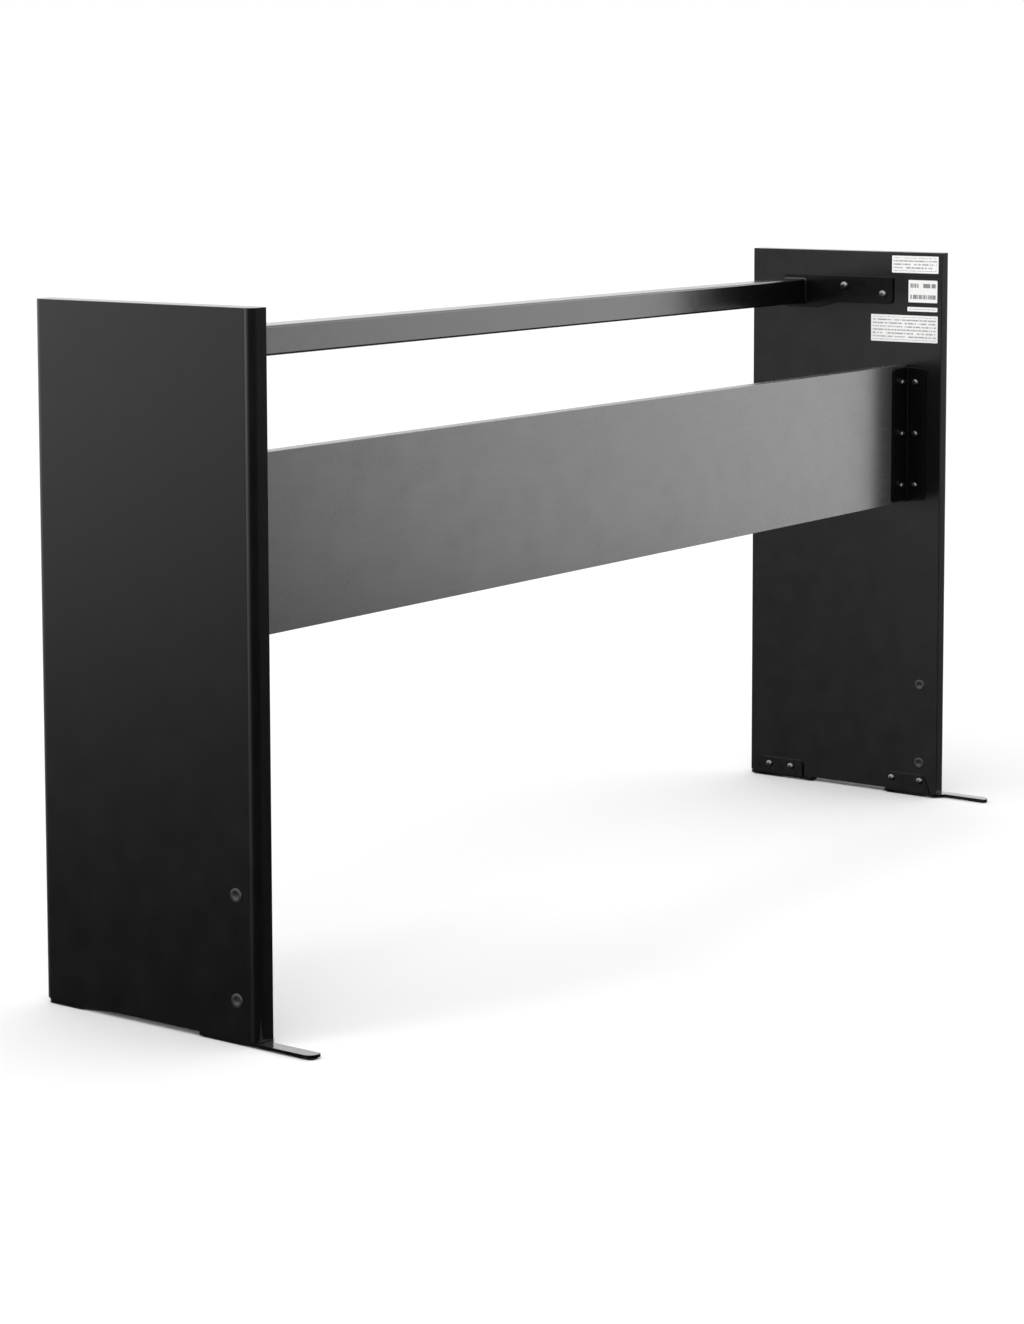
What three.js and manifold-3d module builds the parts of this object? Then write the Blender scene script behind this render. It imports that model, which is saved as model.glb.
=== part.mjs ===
// Keyboard stand: two laminated side panels joined by a modesty board and a steel crossbar, standing on
// bent steel feet. Millimetres. +X runs across the width, -Y is the player's side, +Z is up, and the floor
// is z = 0. The origin lies under the middle of the stand's outline.
import * as THREE from 'three';
import { mergeVertices } from 'three/addons/utils/BufferGeometryUtils.js';
import Module from 'manifold-3d';

const wasm = await Module();
wasm.setup();

// Overall sizes
const WIDTH = 1300; // over the outer faces of the side panels
const HEIGHT = 668; // floor to the top of the side panels
const PANEL_DEPTH = 265;
const REAR_REACH = 62.5; // how far the rear feet stand out behind the panels

// Clearances
const CONTACT_GAP = 0.1; // between pieces that rest on each other
const HOLE_CLEARANCE = 0.2; // around a shank in its hole
const OVERSHOOT = 1; // how far a cutter stands out of what it cuts
const MERGE_TOLERANCE = 1e-4;

// Side panels
const PANEL_THICKNESS = 22;
const PANEL_OUTER_RADIUS = 9;
const PANEL_INNER_RADIUS = 1;

// Modesty board
const BOARD_THICKNESS = 15;
const BOARD_HEIGHT = 168.4;
const BOARD_TOP_DROP = 136.8; // from the panel tops
const BOARD_SETBACK = 46.8; // rear face, from the panels' rear edges

// Board brackets, one steel angle at each end of the board
const BRACKET_STEEL = 2.5;
const BRACKET_HEIGHT = 162;
const BRACKET_PANEL_LEG = 26.5;
const BRACKET_BOARD_LEG = 36;
const BRACKET_CORNER_RADIUS = 4;
const BRACKET_SCREW_SPACING = 63;
const BRACKET_BOARD_SCREW_INSET = 14.5; // from the panel's inner face

// Crossbar, a square tube with a plate at each end
const BAR_SIZE = 30;
const BAR_WALL = 1.5;
const BAR_CORNER_RADIUS = 2;
const BAR_TOP_DROP = 36.2;
const BAR_FRONT_SETBACK = 47.8; // front face, from the panels' front edges
const END_PLATE_STEEL = 3;
const END_PLATE_FRONT_MARGIN = 1.5; // in front of the tube
const END_PLATE_ABOVE = 5.2; // above the tube
const END_PLATE_DEEPER = 4.8; // below the tube, where the plate carries it
const END_PLATE_TAB_RISE = 7.6; // step up from the deep part to the tab
const END_PLATE_SLOPE = 30; // length over which the step rises
const END_PLATE_SHOULDER = 45.5; // the tab begins this far behind the tube
const END_PLATE_REAR_SETBACK = 65.8; // tab's end, from the panels' rear edges
const END_PLATE_RADIUS = 5;
const END_SCREW_BEHIND_BAR = 54.5;
const END_SCREW_FROM_TAB_END = 13;
const END_SCREW_STAGGER = 9.2; // the rear screw sits this much lower
const END_SCREW_ABOVE_CENTRE = 3.8; // middle of the two, above the tube's centre

// Feet, bent from one sheet: a base under the panel and an upstand on its inner face
const FOOT_STEEL = 3;
const PAD_THICKNESS = 1.5;
const PAD_INSET = 1.5;
const PAD_RADIUS = 4;
const FRONT_BASE_SETBACK = 2.5; // from the panel's front edge
const FRONT_BASE_LENGTH = 90;
const FRONT_BASE_STRAIGHT = 45; // full width part
const FRONT_TIP_WIDTH = 13.5;
const FRONT_TIP_RADIUS = 5;
const FRONT_BASE_CORNER_RADIUS = 1;
const FRONT_UPSTAND_SETBACK = 12.5;
const FRONT_UPSTAND_LENGTH = 64;
const FRONT_UPSTAND_TOP = 24;
const FRONT_SCREW_SPACING = 31;
const FRONT_SCREW_HEIGHT = 16;
const REAR_BASE_INSET = 71.5; // base's front end, from the panel's rear edge
const REAR_BASE_TAIL = 2; // full width part ends this far inside the panel's rear edge
const REAR_BAR_WIDTH = 13.5;
const REAR_BAR_TIP_RADIUS = 10;
const REAR_BAR_CORNER_RADIUS = 2;
const REAR_NECK_LENGTH = 10;
const REAR_UPSTAND_INSET = 67.5; // upstand's front end, from the panel's rear edge
const REAR_UPSTAND_TOP_LENGTH = 50;
const REAR_UPSTAND_FLARE = 10;
const REAR_UPSTAND_TOP = 26;
const REAR_SCREW_MARGIN = 7;
const REAR_SCREW_SPACING = 39;
const REAR_SCREW_HEIGHT = 19.5;
const UPSTAND_RADIUS = 5;
const REAR_TIP_PAD_LENGTH = 24;
const REAR_BASE_PAD_LENGTH = 55;

// Fasteners
const SCREW_SHANK_RADIUS = 1.9;
const SCREW_HEAD_RADIUS = 4.2;
const SCREW_HEAD_HEIGHT = 2.4;
const SCREW_BITE = 12; // length in the wood
const BOLT_SHANK_RADIUS = 2.4;
const BOLT_HEAD_RADIUS = 5;
const BOLT_HEAD_HEIGHT = 3;
const BOLT_END_GAP = 1; // the bolt stops this far short of its insert's end
const POINT_LENGTH = 2; // of a shank's point, in shank radii
const HEAD_EDGE = 0.5; // height of a head's upright edge, as a share of the head's height
const HEAD_CROWN = 0.6; // radius of a head's flat top, as a share of the head's radius
const INSERT_RADIUS = 4.5;
const INSERT_LENGTH = 13;
const PILOT_EXTRA = 1.5; // drilled deeper than the fastener reaches

// Caps over the bolt holes that go through each panel
const CAP_HOLE_RADIUS = 4.5;
const CAP_RADIUS = 6.8;
const CAP_STANDS_OUT = 1.2;
const CAP_STEM_LENGTH = 7;
const CAP_DIMPLE_RADIUS = 2.2;
const CAP_DIMPLE_DEPTH = 0.7;
const CAP_FACE = 0.9; // radius of a cap's face, as a share of its rim's radius
const CAP_DIMPLE_FLOOR = 0.6; // radius of a dimple's floor, as a share of its mouth's radius
const CAP_REAR_INSET = 24;
const CAP_HEIGHTS = { lower: 41, upper: 138 };

// Blank labels on the left panel's inner face: name, rear inset, length, top drop, height
const LABEL_THICKNESS = 0.2;
const LABELS = [
  ['top', 4.6, 63.5, 4.5, 20.7],
  ['square', 5.8, 39.3, 33.6, 27.1],
  ['strip', 5.5, 40.8, 66.3, 5.3],
  ['wide', 4.9, 91.6, 76.7, 32.6],
];

// Derived places
const PANEL_FRONT = -(PANEL_DEPTH + REAR_REACH) / 2;
const PANEL_REAR = PANEL_FRONT + PANEL_DEPTH;
const INNER_FACE = WIDTH / 2 - PANEL_THICKNESS;
const BASE_BOTTOM = PAD_THICKNESS + CONTACT_GAP;
const PANEL_BOTTOM = BASE_BOTTOM + FOOT_STEEL + CONTACT_GAP;
const BOARD_REAR = PANEL_REAR - BOARD_SETBACK;
const BOARD_MIDDLE = HEIGHT - BOARD_TOP_DROP - BOARD_HEIGHT / 2;
const BRACKET_SEAT = BOARD_REAR + CONTACT_GAP;
const BRACKET_PANEL_SCREW_Y = BRACKET_SEAT + BRACKET_PANEL_LEG / 2;
const BRACKET_SCREW_HEIGHTS = {
  lower: BOARD_MIDDLE - BRACKET_SCREW_SPACING,
  middle: BOARD_MIDDLE,
  upper: BOARD_MIDDLE + BRACKET_SCREW_SPACING,
};
const BAR_TOP = HEIGHT - BAR_TOP_DROP;
const BAR_FRONT = PANEL_FRONT + BAR_FRONT_SETBACK;
const BAR_REAR = BAR_FRONT + BAR_SIZE;
const TAB_END = PANEL_REAR - END_PLATE_REAR_SETBACK;
const END_SCREW_MIDDLE = BAR_TOP - BAR_SIZE / 2 + END_SCREW_ABOVE_CENTRE;
const END_SCREWS = {
  front: [BAR_REAR + END_SCREW_BEHIND_BAR, END_SCREW_MIDDLE + END_SCREW_STAGGER / 2],
  rear: [TAB_END - END_SCREW_FROM_TAB_END, END_SCREW_MIDDLE - END_SCREW_STAGGER / 2],
};
const FRONT_UPSTAND_START = PANEL_FRONT + FRONT_UPSTAND_SETBACK;
const FRONT_UPSTAND_MIDDLE = FRONT_UPSTAND_START + FRONT_UPSTAND_LENGTH / 2;
const REAR_UPSTAND_START = PANEL_REAR - REAR_UPSTAND_INSET;
const REAR_BASE_START = PANEL_REAR - REAR_BASE_INSET;
const FOOT_END = PANEL_REAR + REAR_REACH;
const FOOT_INNER = INNER_FACE - CONTACT_GAP - FOOT_STEEL;
const FOOT_SCREWS = {
  front_foot_screw_front: [FRONT_UPSTAND_MIDDLE - FRONT_SCREW_SPACING / 2, FRONT_SCREW_HEIGHT],
  front_foot_screw_rear: [FRONT_UPSTAND_MIDDLE + FRONT_SCREW_SPACING / 2, FRONT_SCREW_HEIGHT],
  rear_foot_screw_front: [REAR_UPSTAND_START + REAR_SCREW_MARGIN, REAR_SCREW_HEIGHT],
  rear_foot_screw_rear: [REAR_UPSTAND_START + REAR_SCREW_MARGIN + REAR_SCREW_SPACING, REAR_SCREW_HEIGHT],
};
const CAP_Y = PANEL_REAR - CAP_REAR_INSET;
const ROUND_STEPS = 12;
const ARC_STEPS = 3;

const group = new THREE.Group();
group.name = 'keyboard_stand';

const FINISHES = {
  laminate: { color: 0x19191a, roughness: 0.42, metalness: 0 },
  board: { color: 0x1c1c1d, roughness: 0.34, metalness: 0 },
  steel: { color: 0x121213, roughness: 0.38, metalness: 0.2 },
  fastener: { color: 0x77777a, roughness: 0.3, metalness: 0.9 },
  plastic: { color: 0x161617, roughness: 0.45, metalness: 0 },
  rubber: { color: 0x0e0e0e, roughness: 0.85, metalness: 0 },
  paper: { color: 0xd8d8d6, roughness: 0.6, metalness: 0 },
};

function place(name, geometry, finish) {
  const mesh = new THREE.Mesh(geometry, new THREE.MeshStandardMaterial(FINISHES[finish]));
  mesh.name = name;
  group.add(mesh);
}

// A closed skin: shared corners are merged, and triangles that close up on an axis are left out
function closedSkin(geometry) {
  const bare = geometry.clone();
  bare.deleteAttribute('normal');
  bare.deleteAttribute('uv');
  const merged = mergeVertices(bare, MERGE_TOLERANCE);
  const kept = [];
  for (let i = 0; i < merged.index.count; i += 3) {
    const [a, b, c] = [0, 1, 2].map((k) => merged.index.getX(i + k));
    if (a !== b && b !== c && c !== a) kept.push(a, b, c);
  }
  merged.setIndex(kept);
  return merged;
}

// Joining and cutting
function solid(geometry) {
  const skin = closedSkin(geometry);
  return new wasm.Manifold(new wasm.Mesh({
    numProp: 3,
    vertProperties: Float32Array.from(skin.attributes.position.array),
    triVerts: Uint32Array.from(skin.index.array),
  }));
}

function geometryOf(manifold) {
  const mesh = manifold.getMesh();
  const geometry = new THREE.BufferGeometry();
  geometry.setAttribute('position', new THREE.BufferAttribute(mesh.vertProperties, 3));
  geometry.setIndex(new THREE.BufferAttribute(mesh.triVerts, 1));
  return geometry;
}

function cut(geometry, tools) {
  return geometryOf(tools.reduce((body, tool) => body.subtract(solid(tool)), solid(geometry)));
}

// An outline whose corners [x, y, radius] are rounded by arcs
function roundedOutline(corners) {
  const shape = new THREE.Shape();
  const count = corners.length;
  corners.forEach(([x, y, radius], i) => {
    const [px, py] = corners[(i + count - 1) % count];
    const [nx, ny] = corners[(i + 1) % count];
    const corner = new THREE.Vector2(x, y);
    const back = new THREE.Vector2(px - x, py - y).normalize();
    const ahead = new THREE.Vector2(nx - x, ny - y).normalize();
    const half = back.angleTo(ahead) / 2;
    const reach = radius / Math.tan(half);
    const start = corner.clone().addScaledVector(back, reach);
    const end = corner.clone().addScaledVector(ahead, reach);
    if (i === 0) shape.moveTo(start.x, start.y);
    else shape.lineTo(start.x, start.y);
    if (radius > 0) {
      const toCentre = back.clone().add(ahead).normalize();
      const centre = corner.clone().addScaledVector(toCentre, radius / Math.sin(half));
      const from = Math.atan2(start.y - centre.y, start.x - centre.x);
      const to = Math.atan2(end.y - centre.y, end.x - centre.x);
      shape.absarc(centre.x, centre.y, radius, from, to, back.cross(ahead) > 0);
    }
  });
  shape.closePath();
  return shape;
}

// Plates: an outline in X and Y raised along Z, and an outline in Y and Z raised along X
function raised(outline, depth) {
  return new THREE.ExtrudeGeometry(outline, { depth, bevelEnabled: false, curveSegments: ARC_STEPS });
}

function plateOnFloor(outline, bottom, top) {
  return raised(outline, top - bottom).translate(0, 0, bottom);
}

function plateOnSide(outline, from, to) {
  const axes = new THREE.Matrix4().makeBasis(
    new THREE.Vector3(0, 1, 0),
    new THREE.Vector3(0, 0, 1),
    new THREE.Vector3(1, 0, 0),
  );
  return raised(outline, to - from).applyMatrix4(axes).translate(from, 0, 0);
}

// The stand's right half is drawn, and its left half is the same piece mirrored in X
function mirrored(skin) {
  const copy = skin.clone().scale(-1, 1, 1);
  const turnedOver = [];
  for (let i = 0; i < skin.index.count; i += 3) {
    turnedOver.push(skin.index.getX(i), skin.index.getX(i + 2), skin.index.getX(i + 1));
  }
  copy.setIndex(turnedOver);
  return copy;
}

function placePair(name, geometry, finish) {
  const skin = closedSkin(geometry);
  place(`${name}_right`, skin, finish);
  place(`${name}_left`, mirrored(skin), finish);
}

// Round pieces are turned about Y, then laid so that +Y becomes the named direction
const ALONG = {
  inward: new THREE.Matrix4().makeRotationZ(Math.PI / 2),
  outward: new THREE.Matrix4().makeRotationZ(-Math.PI / 2),
  rearward: new THREE.Matrix4(),
};

function turned(points, direction, x, y, z) {
  const profile = points.map(([r, h]) => new THREE.Vector2(r, h));
  return new THREE.LatheGeometry(profile, ROUND_STEPS).applyMatrix4(ALONG[direction]).translate(x, y, z);
}

function drill(radius, from, to, direction, x, y, z) {
  return turned([[0, from], [radius, from], [radius, to], [0, to]], direction, x, y, z);
}

// A pan head screw whose head's underside is at height 0, with the shank going down
function screw(shank, head, height, reach, direction, x, y, z) {
  const points = [
    [0, -reach],
    [shank, -reach + shank * POINT_LENGTH],
    [shank, 0],
    [head, 0],
    [head, height * HEAD_EDGE],
    [head * HEAD_CROWN, height],
    [0, height],
  ];
  return turned(points, direction, x, y, z);
}

function sidePanel() {
  const outer = WIDTH / 2;
  const outline = roundedOutline([
    [INNER_FACE, PANEL_FRONT, PANEL_INNER_RADIUS],
    [outer, PANEL_FRONT, PANEL_OUTER_RADIUS],
    [outer, PANEL_REAR, PANEL_OUTER_RADIUS],
    [INNER_FACE, PANEL_REAR, PANEL_INNER_RADIUS],
  ]);
  const pilot = SCREW_SHANK_RADIUS + HOLE_CLEARANCE;
  const pilotDepth = -SCREW_BITE - PILOT_EXTRA;
  const sleeveHole = INSERT_RADIUS + HOLE_CLEARANCE;
  const sleeveDepth = -INSERT_LENGTH - PILOT_EXTRA;
  const screwPlaces = [
    ...Object.values(BRACKET_SCREW_HEIGHTS).map((z) => [BRACKET_PANEL_SCREW_Y, z]),
    ...Object.values(FOOT_SCREWS),
  ];
  const tools = [
    ...screwPlaces.map(([y, z]) => drill(pilot, pilotDepth, OVERSHOOT, 'inward', INNER_FACE, y, z)),
    ...Object.values(END_SCREWS).map(([y, z]) => (
      drill(sleeveHole, sleeveDepth, OVERSHOOT, 'inward', INNER_FACE, y, z)
    )),
    ...Object.values(CAP_HEIGHTS).map((z) => (
      drill(CAP_HOLE_RADIUS, -PANEL_THICKNESS - OVERSHOOT, OVERSHOOT, 'inward', INNER_FACE, CAP_Y, z)
    )),
  ];
  return cut(plateOnFloor(outline, PANEL_BOTTOM, HEIGHT), tools);
}

function backBoard() {
  const half = INNER_FACE - CONTACT_GAP;
  const top = HEIGHT - BOARD_TOP_DROP;
  const outline = roundedOutline([
    [-half, BOARD_REAR - BOARD_THICKNESS, 0],
    [half, BOARD_REAR - BOARD_THICKNESS, 0],
    [half, BOARD_REAR, 0],
    [-half, BOARD_REAR, 0],
  ]);
  const screwX = INNER_FACE - BRACKET_BOARD_SCREW_INSET;
  const pilot = SCREW_SHANK_RADIUS + HOLE_CLEARANCE;
  const tools = [-screwX, screwX].flatMap((x) => Object.values(BRACKET_SCREW_HEIGHTS).map((z) => (
    drill(pilot, -SCREW_BITE - PILOT_EXTRA, OVERSHOOT, 'rearward', x, BOARD_REAR, z)
  )));
  return cut(plateOnFloor(outline, top - BOARD_HEIGHT, top), tools);
}

// An angle: one leg lies on the board, the other on the panel's inner face
function boardBracket() {
  const outer = INNER_FACE - CONTACT_GAP;
  const low = BOARD_MIDDLE - BRACKET_HEIGHT / 2;
  const high = BOARD_MIDDLE + BRACKET_HEIGHT / 2;
  const angle = roundedOutline([
    [outer - BRACKET_BOARD_LEG, BRACKET_SEAT, 0],
    [outer, BRACKET_SEAT, BRACKET_STEEL],
    [outer, BRACKET_SEAT + BRACKET_PANEL_LEG, 0],
    [outer - BRACKET_STEEL, BRACKET_SEAT + BRACKET_PANEL_LEG, 0],
    [outer - BRACKET_STEEL, BRACKET_SEAT + BRACKET_STEEL, 0],
    [outer - BRACKET_BOARD_LEG, BRACKET_SEAT + BRACKET_STEEL, 0],
  ]);
  const panelLeg = roundedOutline([
    [BRACKET_SEAT - OVERSHOOT, low, 0],
    [BRACKET_SEAT + BRACKET_PANEL_LEG, low, BRACKET_CORNER_RADIUS],
    [BRACKET_SEAT + BRACKET_PANEL_LEG, high, BRACKET_CORNER_RADIUS],
    [BRACKET_SEAT - OVERSHOOT, high, 0],
  ]);
  const legEnd = outer - BRACKET_BOARD_LEG;
  const rounding = plateOnSide(panelLeg, legEnd - OVERSHOOT, outer + OVERSHOOT);
  const rounded = solid(plateOnFloor(angle, low, high)).intersect(solid(rounding));
  const hole = SCREW_SHANK_RADIUS + HOLE_CLEARANCE;
  const through = BRACKET_STEEL + OVERSHOOT;
  const boardScrewX = INNER_FACE - BRACKET_BOARD_SCREW_INSET;
  const tools = Object.values(BRACKET_SCREW_HEIGHTS).flatMap((z) => [
    drill(hole, -OVERSHOOT, through, 'inward', outer, BRACKET_PANEL_SCREW_Y, z),
    drill(hole, -OVERSHOOT, through, 'rearward', boardScrewX, BRACKET_SEAT, z),
  ]);
  return cut(geometryOf(rounded), tools);
}

// A square tube, open at both ends, between the end plates
function crossbar() {
  const half = INNER_FACE - CONTACT_GAP * 2 - END_PLATE_STEEL;
  const section = (inset, radius) => roundedOutline([
    [BAR_FRONT + inset, BAR_TOP - BAR_SIZE + inset, radius],
    [BAR_REAR - inset, BAR_TOP - BAR_SIZE + inset, radius],
    [BAR_REAR - inset, BAR_TOP - inset, radius],
    [BAR_FRONT + inset, BAR_TOP - inset, radius],
  ]);
  const inside = section(BAR_WALL, BAR_CORNER_RADIUS - BAR_WALL);
  const bore = plateOnSide(inside, -half - OVERSHOOT, half + OVERSHOOT);
  return cut(plateOnSide(section(0, BAR_CORNER_RADIUS), -half, half), [bore]);
}

// Deep where it carries the tube, then a narrower tab that runs towards the rear
function crossbarEndPlate() {
  const front = BAR_FRONT - END_PLATE_FRONT_MARGIN;
  const top = BAR_TOP + END_PLATE_ABOVE;
  const low = BAR_TOP - BAR_SIZE - END_PLATE_DEEPER;
  const shoulder = BAR_REAR + END_PLATE_SHOULDER;
  const outline = roundedOutline([
    [front, low, END_PLATE_RADIUS],
    [shoulder - END_PLATE_SLOPE, low, END_PLATE_RADIUS * 2],
    [shoulder, low + END_PLATE_TAB_RISE, END_PLATE_RADIUS],
    [TAB_END, low + END_PLATE_TAB_RISE, END_PLATE_RADIUS],
    [TAB_END, top, END_PLATE_RADIUS / 2],
    [front, top, END_PLATE_RADIUS / 2],
  ]);
  const outer = INNER_FACE - CONTACT_GAP;
  const tools = Object.values(END_SCREWS).map(([y, z]) => (
    drill(BOLT_SHANK_RADIUS + HOLE_CLEARANCE, -OVERSHOOT, END_PLATE_STEEL + OVERSHOOT, 'inward', outer, y, z)
  ));
  return cut(plateOnSide(outline, outer - END_PLATE_STEEL, outer), tools);
}

// Upstand outline in Y and Z, which may be longer at its foot than at its top
function upstandOutline(start, topLength, flare, top) {
  return roundedOutline([
    [start, BASE_BOTTOM, 0],
    [start + topLength + flare, BASE_BOTTOM, 0],
    [start + topLength, top, UPSTAND_RADIUS],
    [start, top, UPSTAND_RADIUS],
  ]);
}

function bentFoot(baseOutline, upstand, screwPlaces) {
  const inner = INNER_FACE - CONTACT_GAP;
  const base = solid(plateOnFloor(baseOutline, BASE_BOTTOM, BASE_BOTTOM + FOOT_STEEL));
  const joined = base.add(solid(plateOnSide(upstand, FOOT_INNER, inner)));
  const tools = screwPlaces.map(([y, z]) => (
    drill(SCREW_SHANK_RADIUS + HOLE_CLEARANCE, -OVERSHOOT, FOOT_STEEL + OVERSHOOT, 'inward', inner, y, z)
  ));
  return cut(geometryOf(joined), tools);
}

// The base narrows behind the upstand to a tongue along the panel's inner side
function frontFoot() {
  const outer = WIDTH / 2;
  const start = PANEL_FRONT + FRONT_BASE_SETBACK;
  const outline = roundedOutline([
    [FOOT_INNER, start, FRONT_BASE_CORNER_RADIUS],
    [outer, start, PANEL_OUTER_RADIUS],
    [outer, start + FRONT_BASE_STRAIGHT, FRONT_BASE_STRAIGHT / 2],
    [FOOT_INNER + FRONT_TIP_WIDTH, start + FRONT_BASE_LENGTH, FRONT_TIP_RADIUS],
    [FOOT_INNER, start + FRONT_BASE_LENGTH, FRONT_TIP_RADIUS],
  ]);
  const upstand = upstandOutline(FRONT_UPSTAND_START, FRONT_UPSTAND_LENGTH, 0, FRONT_UPSTAND_TOP);
  return bentFoot(outline, upstand, [FOOT_SCREWS.front_foot_screw_front, FOOT_SCREWS.front_foot_screw_rear]);
}

// The base narrows behind the panel to a bar along the outer side, which steadies the stand
function rearFoot() {
  const outer = WIDTH / 2;
  const barInner = outer - REAR_BAR_WIDTH;
  const neck = PANEL_REAR - REAR_BASE_TAIL;
  const outline = roundedOutline([
    [FOOT_INNER, REAR_BASE_START, REAR_BAR_CORNER_RADIUS],
    [outer, REAR_BASE_START, REAR_BAR_CORNER_RADIUS],
    [outer, FOOT_END, REAR_BAR_TIP_RADIUS],
    [barInner, FOOT_END, REAR_BAR_CORNER_RADIUS],
    [barInner, neck + REAR_NECK_LENGTH, REAR_BAR_CORNER_RADIUS],
    [FOOT_INNER, neck, REAR_BAR_CORNER_RADIUS],
  ]);
  const upstand = upstandOutline(
    REAR_UPSTAND_START,
    REAR_UPSTAND_TOP_LENGTH,
    REAR_UPSTAND_FLARE,
    REAR_UPSTAND_TOP,
  );
  return bentFoot(outline, upstand, [FOOT_SCREWS.rear_foot_screw_front, FOOT_SCREWS.rear_foot_screw_rear]);
}

function pad(innerX, outerX, start, end) {
  const outline = roundedOutline([
    [innerX, start, PAD_RADIUS],
    [outerX, start, PAD_RADIUS],
    [outerX, end, PAD_RADIUS],
    [innerX, end, PAD_RADIUS],
  ]);
  return plateOnFloor(outline, 0, PAD_THICKNESS);
}

function placePads() {
  const outerX = WIDTH / 2 - PAD_INSET;
  const innerX = FOOT_INNER + PAD_INSET;
  const frontStart = PANEL_FRONT + FRONT_BASE_SETBACK + PAD_INSET;
  const frontEnd = PANEL_FRONT + FRONT_BASE_SETBACK + FRONT_BASE_STRAIGHT;
  const rearStart = REAR_BASE_START + PAD_INSET;
  const tipEnd = FOOT_END - PAD_INSET;
  const barInner = WIDTH / 2 - REAR_BAR_WIDTH + PAD_INSET;
  placePair('front_foot_pad', pad(innerX, outerX, frontStart, frontEnd), 'rubber');
  placePair('rear_foot_pad', pad(innerX, outerX, rearStart, rearStart + REAR_BASE_PAD_LENGTH), 'rubber');
  placePair('rear_tip_pad', pad(barInner, outerX, tipEnd - REAR_TIP_PAD_LENGTH, tipEnd), 'rubber');
}

function placeBracketScrews() {
  const panelSeat = INNER_FACE - CONTACT_GAP - BRACKET_STEEL - CONTACT_GAP;
  const boardSeat = BRACKET_SEAT + BRACKET_STEEL + CONTACT_GAP;
  const reach = BRACKET_STEEL + SCREW_BITE;
  const sizes = [SCREW_SHANK_RADIUS, SCREW_HEAD_RADIUS, SCREW_HEAD_HEIGHT, reach];
  const boardX = INNER_FACE - BRACKET_BOARD_SCREW_INSET;
  for (const [level, z] of Object.entries(BRACKET_SCREW_HEIGHTS)) {
    const inPanel = screw(...sizes, 'inward', panelSeat, BRACKET_PANEL_SCREW_Y, z);
    const inBoard = screw(...sizes, 'rearward', boardX, boardSeat, z);
    placePair(`bracket_panel_screw_${level}`, inPanel, 'fastener');
    placePair(`bracket_board_screw_${level}`, inBoard, 'fastener');
  }
}

function placeCrossbarBolts() {
  const seat = INNER_FACE - CONTACT_GAP - END_PLATE_STEEL - CONTACT_GAP;
  const reach = END_PLATE_STEEL + INSERT_LENGTH - BOLT_END_GAP;
  const bore = BOLT_SHANK_RADIUS + HOLE_CLEARANCE;
  for (const [end, [y, z]] of Object.entries(END_SCREWS)) {
    const bolt = screw(BOLT_SHANK_RADIUS, BOLT_HEAD_RADIUS, BOLT_HEAD_HEIGHT, reach, 'inward', seat, y, z);
    placePair(`crossbar_bolt_${end}`, bolt, 'fastener');
    const sleeve = [
      [bore, -INSERT_LENGTH],
      [INSERT_RADIUS, -INSERT_LENGTH],
      [INSERT_RADIUS, 0],
      [bore, 0],
      [bore, -INSERT_LENGTH],
    ];
    placePair(`threaded_insert_${end}`, turned(sleeve, 'inward', INNER_FACE, y, z), 'fastener');
  }
}

function placeFootScrews() {
  const seat = FOOT_INNER - CONTACT_GAP;
  const sizes = [SCREW_SHANK_RADIUS, SCREW_HEAD_RADIUS, SCREW_HEAD_HEIGHT, FOOT_STEEL + SCREW_BITE];
  for (const [name, [y, z]] of Object.entries(FOOT_SCREWS)) {
    placePair(name, screw(...sizes, 'inward', seat, y, z), 'fastener');
  }
}

// A push-in cap with a stem in the hole and a shallow dimple in its face
function cap(direction, faceX, z) {
  const stem = CAP_HOLE_RADIUS - HOLE_CLEARANCE;
  const points = [
    [0, -CAP_STEM_LENGTH],
    [stem, -CAP_STEM_LENGTH],
    [stem, CONTACT_GAP],
    [CAP_RADIUS, CONTACT_GAP],
    [CAP_RADIUS * CAP_FACE, CAP_STANDS_OUT],
    [CAP_DIMPLE_RADIUS, CAP_STANDS_OUT],
    [CAP_DIMPLE_RADIUS * CAP_DIMPLE_FLOOR, CAP_STANDS_OUT - CAP_DIMPLE_DEPTH],
    [0, CAP_STANDS_OUT - CAP_DIMPLE_DEPTH],
  ];
  return turned(points, direction, faceX, CAP_Y, z);
}

function placeCaps() {
  for (const [level, z] of Object.entries(CAP_HEIGHTS)) {
    placePair(`outer_hole_cap_${level}`, cap('outward', WIDTH / 2, z), 'plastic');
    placePair(`inner_hole_cap_${level}`, cap('inward', INNER_FACE, z), 'plastic');
  }
}

function placeLabels() {
  const face = -INNER_FACE + CONTACT_GAP;
  for (const [name, rearInset, length, topDrop, height] of LABELS) {
    const rear = PANEL_REAR - rearInset;
    const top = HEIGHT - topDrop;
    const outline = roundedOutline([
      [rear - length, top - height, 0],
      [rear, top - height, 0],
      [rear, top, 0],
      [rear - length, top, 0],
    ]);
    place(`label_${name}`, plateOnSide(outline, face, face + LABEL_THICKNESS), 'paper');
  }
}

placePair('side_panel', sidePanel(), 'laminate');
place('back_board', backBoard(), 'board');
place('crossbar', crossbar(), 'steel');
placePair('crossbar_end_plate', crossbarEndPlate(), 'steel');
placePair('board_bracket', boardBracket(), 'steel');
placePair('front_foot', frontFoot(), 'steel');
placePair('rear_foot', rearFoot(), 'steel');
placePads();
placeBracketScrews();
placeCrossbarBolts();
placeFootScrews();
placeCaps();
placeLabels();

export default group;
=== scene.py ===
# %% [markdown]
# # Keyboard stand
# Two black laminated side panels are joined by a grey modesty board and a steel crossbar, and stand on
# bent steel feet. The measured frame gives every place and size. This lesson makes each piece again on
# its own place, with the small shapes and finishes that a finished stand has.

# %% Load the measured frame
import math

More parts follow.
